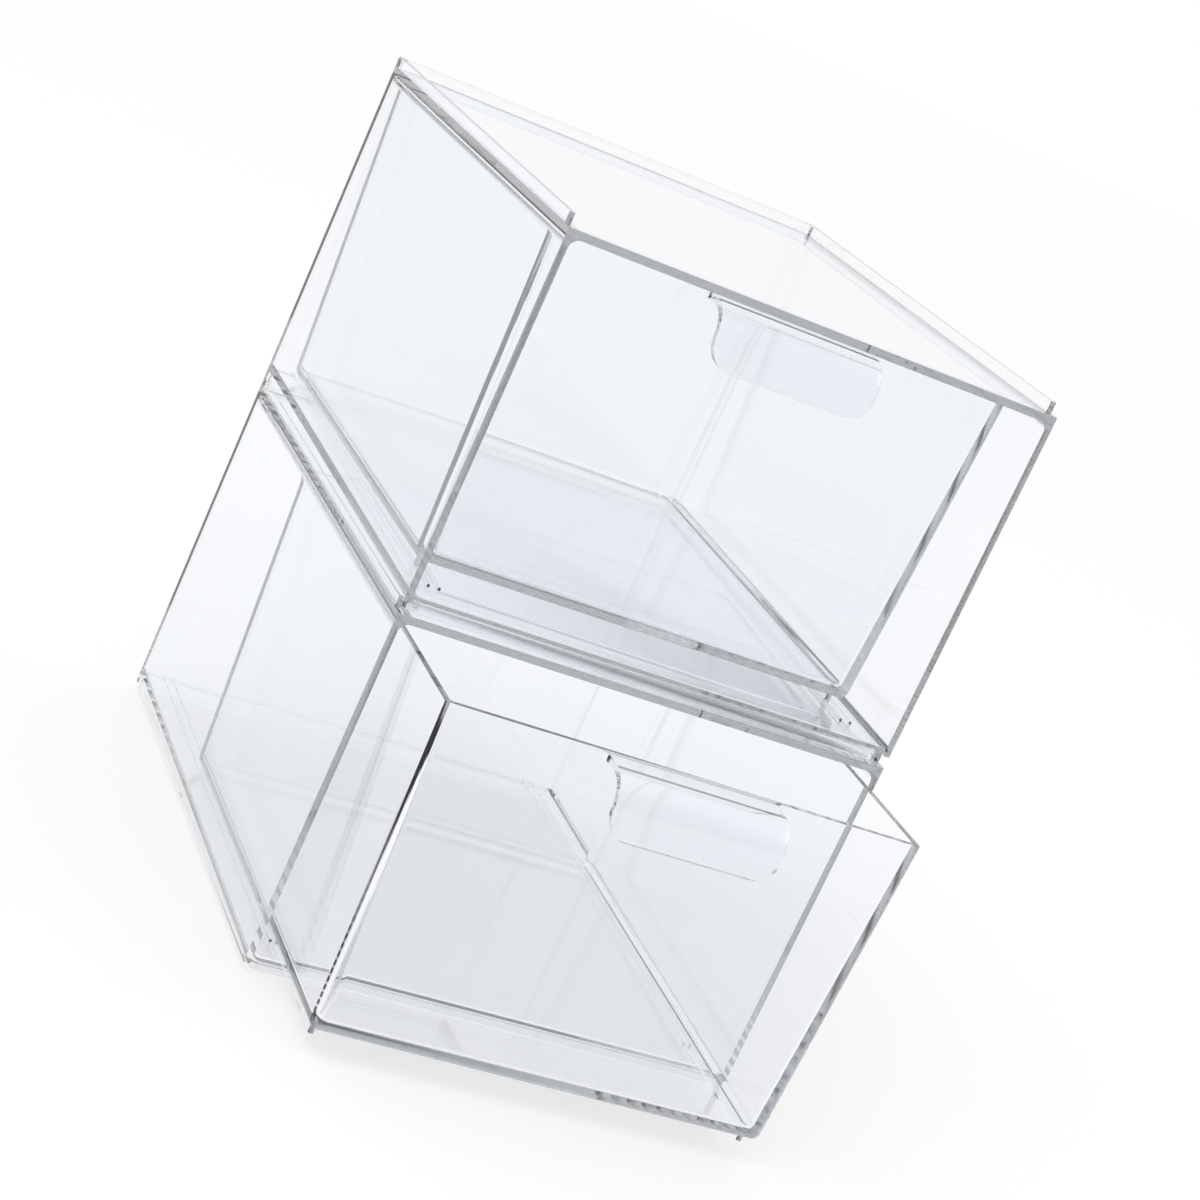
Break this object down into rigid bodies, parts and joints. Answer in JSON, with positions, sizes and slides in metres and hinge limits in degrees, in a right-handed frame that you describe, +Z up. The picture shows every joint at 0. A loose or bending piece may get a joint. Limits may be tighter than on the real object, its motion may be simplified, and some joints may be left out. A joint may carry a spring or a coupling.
{
  "type": "stacking storage drawers",
  "caption": "Clear moulded stacking organizer: open-fronted cases with a locating rim and ring, and slide-out drawers with rolled finger pulls.",
  "frame": {"origin": "on the resting plane, at the centre of the space that the object takes up with its lower drawer open by 65.5 mm, as pictured", "axes": "+Z up, the drawers open towards -Y, +X to the right for someone who faces the drawers"},
  "size_m": [0.16, 0.263, 0.2326],
  "materials": {
    "case_clear": "clear, polished mould finish",
    "drawer_clear": "clear, polished mould finish"
  },
  "bodies": {
    "lower_case": {"lower_case": "case_clear"},
    "lower_drawer": {"lower_drawer": "drawer_clear"},
    "upper_case": {"upper_case": "case_clear"},
    "upper_drawer": {"upper_drawer": "drawer_clear"}
  },
  "joints": [
    {"name": "lower_drawer_slide", "type": "slide", "parent": "lower_case", "child": "lower_drawer", "axis": [0, -1, -0.01], "range_m": [-0.0655, 0.1325]},
    {"name": "upper_case_lift", "type": "slide", "parent": "lower_case", "child": "upper_case", "axis": [0, 0, 1], "range_m": [0, 0.06]},
    {"name": "upper_drawer_slide", "type": "slide", "parent": "upper_case", "child": "upper_drawer", "axis": [0, -1, -0.01], "range_m": [0, 0.198]}
  ]
}
